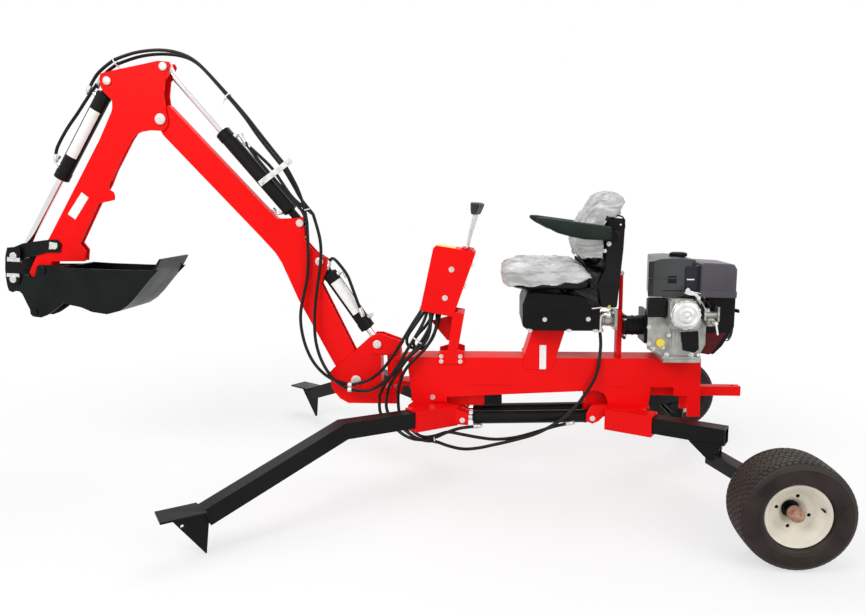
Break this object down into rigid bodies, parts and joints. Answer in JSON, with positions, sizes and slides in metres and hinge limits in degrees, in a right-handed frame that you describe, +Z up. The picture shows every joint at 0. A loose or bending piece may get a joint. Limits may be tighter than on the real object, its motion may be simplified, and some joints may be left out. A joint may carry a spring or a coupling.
{
  "type": "towable backhoe",
  "caption": "Towable backhoe on two trailer wheels and two stabiliser legs, with swing post, boom, dipper, bucket, seat, control stand and petrol engine.",
  "frame": {"origin": "on the ground, under the middle of the machine's outer box", "axes": "+X towards the tow tube, boom towards -X, +Z up, the centre plane of the machine is Y = 0"},
  "size_m": [3.615, 1.994, 1.953],
  "materials": {
    "red_paint": "gloss",
    "black_paint": "satin",
    "steel": "satin",
    "chrome_rod": "polished",
    "tyre_rubber": "matt",
    "rim_paint": "satin",
    "vinyl": "satin, under a clear grey film",
    "alloy": "cast",
    "black_plastic": "satin"
  },
  "bodies": {
    "chassis": {"air_cleaner": "black_plastic", "bell_housing": "black_paint", "carburettor": "alloy", "control_levers": "black_paint", "control_stand": "red_paint", "control_valve": "alloy", "engine": "alloy", "fan_shroud": "black_plastic", "frame_pins": "steel", "fuel_tank": "black_plastic", "hydraulic_pump": "alloy", "king_bracket": "red_paint", "king_pin": "steel", "main_frame": "red_paint", "muffler": "black_paint", "pump_post": "red_paint", "seat_armrests": "black_plastic", "seat_backrest": "vinyl", "seat_cushion": "vinyl", "seat_pedestal": "red_paint", "seat_shell": "black_plastic", "seat_suspension": "black_plastic", "tow_tube": "red_paint", "wheel_axles": "steel", "wheel_legs": "black_paint"},
    "swing": {"swing_post": "red_paint", "swing_post_pins": "steel"},
    "boom": {"boom": "red_paint", "boom_pins": "steel", "boom_barrel": "black_paint"},
    "boom_rod": {"boom_rod": "chrome_rod"},
    "dipper_barrel": {"dipper_barrel": "black_paint"},
    "dipper_rod": {"dipper_rod": "chrome_rod"},
    "dipper": {"dipper": "red_paint", "dipper_pins": "steel"},
    "bucket_barrel": {"bucket_barrel": "black_paint"},
    "bucket_rod": {"bucket_rod": "chrome_rod"},
    "tipping_levers": {"tipping_levers": "black_paint", "tipping_pin": "steel"},
    "bucket_links": {"bucket_links": "black_paint"},
    "bucket": {"bucket": "black_paint", "bucket_pins": "steel"},
    "near_wheel": {"near_rim": "rim_paint", "near_tyre": "tyre_rubber"},
    "far_wheel": {"far_rim": "rim_paint", "far_tyre": "tyre_rubber"},
    "near_leg": {"near_leg_sleeve": "red_paint", "near_leg": "black_paint", "near_leg_pin": "steel"},
    "far_leg": {"far_leg_sleeve": "red_paint", "far_leg": "black_paint", "far_leg_pin": "steel"},
    "near_leg_barrel": {"near_leg_barrel": "black_paint"},
    "near_leg_rod": {"near_leg_rod": "chrome_rod"},
    "far_leg_barrel": {"far_leg_barrel": "black_paint"},
    "far_leg_rod": {"far_leg_rod": "chrome_rod"}
  },
  "joints": [
    {"name": "swing", "type": "hinge", "parent": "chassis", "child": "swing", "pos_m": [0.0805, 0, 0], "axis": [0, 0, 1], "range_deg": [-60, 60]},
    {"name": "boom_lift", "type": "hinge", "parent": "swing", "child": "boom", "pos_m": [-0.1015, 0, 0.462], "axis": [0, -1, 0], "range_deg": [-8, 60]},
    {"name": "dipper_swing", "type": "hinge", "parent": "boom", "child": "dipper", "pos_m": [-0.9855, 0, 1.693], "axis": [0, 1, 0], "range_deg": [-18, 65]},
    {"name": "bucket_curl", "type": "hinge", "parent": "dipper", "child": "bucket", "pos_m": [-1.6195, 0, 0.993], "axis": [0, 1, 0], "range_deg": [-6, 70]},
    {"name": "boom_rod_slide", "type": "slide", "parent": "boom", "child": "boom_rod", "axis": [0.5644, 0, -0.8255], "range_m": [-0.02742, 0.20567]},
    {"name": "dipper_barrel_pivot", "type": "hinge", "parent": "boom", "child": "dipper_barrel", "pos_m": [-0.3505, 0, 1.21], "axis": [0, 1, 0], "range_deg": [-1.75, 6.3]},
    {"name": "dipper_rod_slide", "type": "slide", "parent": "dipper_barrel", "child": "dipper_rod", "axis": [-0.6455, 0, 0.7637], "range_m": [-0.23552, 0.06522]},
    {"name": "tipping_lever_pivot", "type": "hinge", "parent": "dipper", "child": "tipping_levers", "pos_m": [-1.5495, 0, 1.111], "axis": [0, 1, 0], "range_deg": [-4.11, 47.86]},
    {"name": "bucket_link_pivot", "type": "hinge", "parent": "tipping_levers", "child": "bucket_links", "pos_m": [-1.7495, 0, 1.066], "axis": [0, 1, 0], "range_deg": [-56.65, 4.86]},
    {"name": "bucket_barrel_pivot", "type": "hinge", "parent": "dipper", "child": "bucket_barrel", "pos_m": [-1.2285, 0, 1.87], "axis": [0, 1, 0], "range_deg": [-0.44, 5.01]},
    {"name": "bucket_rod_slide", "type": "slide", "parent": "bucket_barrel", "child": "bucket_rod", "axis": [-0.5438, 0, -0.8392], "range_m": [-0.14783, 0.01267]},
    {"name": "near_leg_swing", "type": "hinge", "parent": "chassis", "child": "near_leg", "pos_m": [0.2665, 0, 0.392], "axis": [0, -1, 0], "range_deg": [-32, 0]},
    {"name": "near_leg_barrel_pivot", "type": "hinge", "parent": "chassis", "child": "near_leg_barrel", "pos_m": [1.0045, 0, 0.309], "axis": [0, 1, 0], "range_deg": [-5.25, 0]},
    {"name": "near_leg_rod_slide", "type": "slide", "parent": "near_leg_barrel", "child": "near_leg_rod", "axis": [-0.9996, 0, -0.0284], "range_m": [0, 0.07518]},
    {"name": "near_wheel_roll", "type": "hinge", "parent": "chassis", "child": "near_wheel", "pos_m": [1.6045, -0.792, 0.203], "axis": [0, 1, 0], "continuous": true},
    {"name": "far_leg_swing", "type": "hinge", "parent": "chassis", "child": "far_leg", "pos_m": [0.2665, 0, 0.392], "axis": [0, -1, 0], "range_deg": [-32, 0]},
    {"name": "far_leg_barrel_pivot", "type": "hinge", "parent": "chassis", "child": "far_leg_barrel", "pos_m": [1.0045, 0, 0.309], "axis": [0, 1, 0], "range_deg": [-5.25, 0]},
    {"name": "far_leg_rod_slide", "type": "slide", "parent": "far_leg_barrel", "child": "far_leg_rod", "axis": [-0.9996, 0, -0.0284], "range_m": [0, 0.07518]},
    {"name": "far_wheel_roll", "type": "hinge", "parent": "chassis", "child": "far_wheel", "pos_m": [1.6045, 0.792, 0.203], "axis": [0, 1, 0], "continuous": true}
  ],
  "couplings": [
    {"joint": "boom_rod_slide", "follows": "boom_lift", "m_per_rad": 0.1964},
    {"joint": "dipper_barrel_pivot", "follows": "dipper_swing", "ratio": 0.0967},
    {"joint": "dipper_rod_slide", "follows": "dipper_swing", "m_per_rad": -0.2076},
    {"joint": "tipping_lever_pivot", "follows": "bucket_curl", "ratio": 0.6836},
    {"joint": "bucket_link_pivot", "follows": "bucket_curl", "ratio": -0.8091},
    {"joint": "bucket_barrel_pivot", "follows": "bucket_curl", "ratio": 0.0715},
    {"joint": "bucket_rod_slide", "follows": "bucket_curl", "m_per_rad": -0.121},
    {"joint": "near_leg_barrel_pivot", "follows": "near_leg_swing", "ratio": 0.1636},
    {"joint": "near_leg_rod_slide", "follows": "near_leg_swing", "m_per_rad": -0.1346},
    {"joint": "far_leg_barrel_pivot", "follows": "far_leg_swing", "ratio": 0.1636},
    {"joint": "far_leg_rod_slide", "follows": "far_leg_swing", "m_per_rad": -0.1346}
  ]
}
